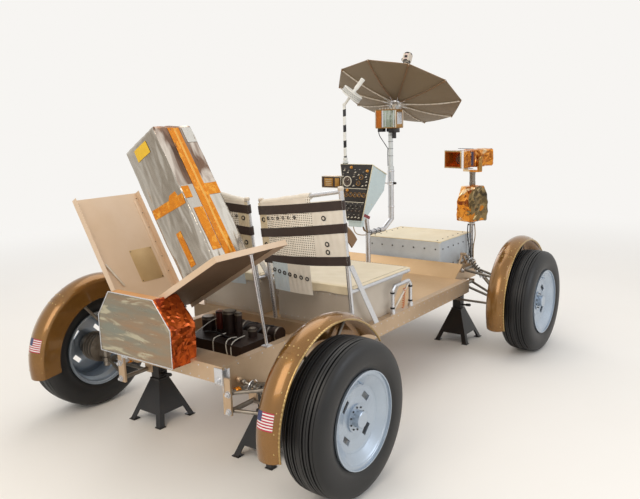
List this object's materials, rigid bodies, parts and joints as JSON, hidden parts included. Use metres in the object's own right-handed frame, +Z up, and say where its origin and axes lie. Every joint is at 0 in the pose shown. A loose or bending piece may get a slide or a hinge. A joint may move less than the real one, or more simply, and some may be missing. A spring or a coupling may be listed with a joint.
{
  "type": "planetary rover",
  "caption": "Four-wheeled planetary rover for two riders with open frame, fenders, webbed seats, console, tilted equipment pallet, dish antenna and camera, parked on axle stands.",
  "frame": {"origin": "on the floor under the middle of the overall length, midway between the wheels", "axes": "+X forward, +Y left, +Z up"},
  "size_m": [3.1732, 2.038, 2.0806],
  "materials": {
    "frame_aluminium": "satin, brushed",
    "deck_aluminium": "satin sheet",
    "bare_steel": "brushed",
    "bright_metal": "polished",
    "tyre_rubber": "matt",
    "wheel_paint": "satin silver",
    "fender_bronze": "gloss metallic bronze",
    "stand_black": "satin black",
    "cover_white": "woven cover",
    "seat_web": "woven webbing",
    "console_grey": "satin",
    "console_black": "matt black",
    "drive_black": "satin black",
    "silver_foil": "crinkled foil",
    "gold_foil": "crinkled foil",
    "mirror_film": "film",
    "pallet_aluminium": "satin sheet",
    "dish_mesh": "fine mesh",
    "rib_white": "white",
    "camera_foil": "crinkled foil",
    "antenna_white": "white"
  },
  "bodies": {
    "chassis": {"center_frame": "frame_aluminium", "floor_panel": "deck_aluminium", "forward_frame": "frame_aluminium", "aft_frame": "frame_aluminium", "suspension_arms": "bare_steel", "spring_dampers": "bright_metal", "axle_stands": "stand_black", "battery_box": "cover_white", "aft_tray": "frame_aluminium", "drive_units": "drive_black", "pallet": "pallet_aluminium", "pallet_struts": "bright_metal", "foil_box": "silver_foil", "mirror_box": "mirror_film", "seat_frames": "bright_metal", "seat_bins": "frame_aluminium", "seat_pans": "seat_web", "seat_backs": "seat_web", "handholds": "bright_metal", "console_stand": "bright_metal", "console_body": "console_grey", "console_panel": "console_black", "console_side_unit": "console_black", "tv_post": "antenna_white"},
    "front_left_upright": {"front_left_knuckle": "bare_steel", "front_left_fender": "fender_bronze"},
    "front_left_wheel": {"front_left_rim": "wheel_paint", "front_left_tyre": "tyre_rubber"},
    "front_right_upright": {"front_right_knuckle": "bare_steel", "front_right_fender": "fender_bronze"},
    "front_right_wheel": {"front_right_rim": "wheel_paint", "front_right_tyre": "tyre_rubber"},
    "rear_left_upright": {"rear_left_knuckle": "bare_steel", "rear_left_fender": "fender_bronze"},
    "rear_left_wheel": {"rear_left_rim": "wheel_paint", "rear_left_tyre": "tyre_rubber"},
    "rear_right_upright": {"rear_right_knuckle": "bare_steel", "rear_right_fender": "fender_bronze"},
    "rear_right_wheel": {"rear_right_rim": "wheel_paint", "rear_right_tyre": "tyre_rubber"},
    "front_steering_link": {"front_tie_rod": "bare_steel"},
    "rear_steering_link": {"rear_tie_rod": "bare_steel"},
    "high_gain_post": {"high_gain_mast": "rib_white", "high_gain_electronics": "gold_foil"},
    "high_gain_reflector": {"high_gain_mesh": "dish_mesh", "high_gain_ribs": "rib_white", "high_gain_feed": "antenna_white"},
    "low_gain_head": {"low_gain_antenna": "antenna_white"},
    "tv_pan_unit": {"tv_control_unit": "silver_foil"},
    "tv_head": {"tv_camera": "camera_foil"}
  },
  "joints": [
    {"name": "front_left_steer", "type": "hinge", "parent": "chassis", "child": "front_left_upright", "pos_m": [1.143, 0.78, 0.35], "axis": [0, 0, 1], "range_deg": [-22, 22]},
    {"name": "front_left_spin", "type": "hinge", "parent": "front_left_upright", "child": "front_left_wheel", "pos_m": [1.143, 0.914, 0.35], "axis": [0, 1, 0], "continuous": true},
    {"name": "front_right_steer", "type": "hinge", "parent": "chassis", "child": "front_right_upright", "pos_m": [1.143, -0.78, 0.35], "axis": [0, 0, 1], "range_deg": [-22, 22]},
    {"name": "front_right_spin", "type": "hinge", "parent": "front_right_upright", "child": "front_right_wheel", "pos_m": [1.143, -0.914, 0.35], "axis": [0, 1, 0], "continuous": true},
    {"name": "rear_left_steer", "type": "hinge", "parent": "chassis", "child": "rear_left_upright", "pos_m": [-1.143, 0.78, 0.35], "axis": [0, 0, 1], "range_deg": [-22, 22]},
    {"name": "rear_left_spin", "type": "hinge", "parent": "rear_left_upright", "child": "rear_left_wheel", "pos_m": [-1.143, 0.914, 0.35], "axis": [0, 1, 0], "continuous": true},
    {"name": "rear_right_steer", "type": "hinge", "parent": "chassis", "child": "rear_right_upright", "pos_m": [-1.143, -0.78, 0.35], "axis": [0, 0, 1], "range_deg": [-22, 22]},
    {"name": "rear_right_spin", "type": "hinge", "parent": "rear_right_upright", "child": "rear_right_wheel", "pos_m": [-1.143, -0.914, 0.35], "axis": [0, 1, 0], "continuous": true},
    {"name": "front_link_slide", "type": "slide", "parent": "chassis", "child": "front_steering_link", "axis": [0, 1, 0], "range_m": [-0.0526, 0.0526]},
    {"name": "rear_link_slide", "type": "slide", "parent": "chassis", "child": "rear_steering_link", "axis": [0, 1, 0], "range_m": [-0.0526, 0.0526]},
    {"name": "high_gain_swivel", "type": "hinge", "parent": "chassis", "child": "high_gain_post", "pos_m": [0.79, 0, 1.2], "axis": [0, 0, 1], "range_deg": [-45, 45]},
    {"name": "high_gain_tilt", "type": "hinge", "parent": "high_gain_post", "child": "high_gain_reflector", "pos_m": [0.854, 0, 1.702], "axis": [0, 1, 0], "range_deg": [-5, 40]},
    {"name": "low_gain_swivel", "type": "hinge", "parent": "chassis", "child": "low_gain_head", "pos_m": [0.38, 0.11, 1.4], "axis": [0, 0, 1], "range_deg": [-60, 40]},
    {"name": "tv_pan", "type": "hinge", "parent": "chassis", "child": "tv_pan_unit", "pos_m": [1.41, -0.345, 0.9], "axis": [0, 0, 1], "range_deg": [-90, 90]},
    {"name": "tv_tilt", "type": "hinge", "parent": "tv_pan_unit", "child": "tv_head", "pos_m": [1.41, -0.345, 1.312], "axis": [-0.284, -0.9588, 0], "range_deg": [-30, 30]}
  ],
  "couplings": [
    {"joint": "front_right_steer", "follows": "front_left_steer", "ratio": 1},
    {"joint": "front_link_slide", "follows": "front_left_steer", "m_per_rad": -0.1366},
    {"joint": "rear_right_steer", "follows": "rear_left_steer", "ratio": 1},
    {"joint": "rear_link_slide", "follows": "rear_left_steer", "m_per_rad": 0.1366}
  ]
}
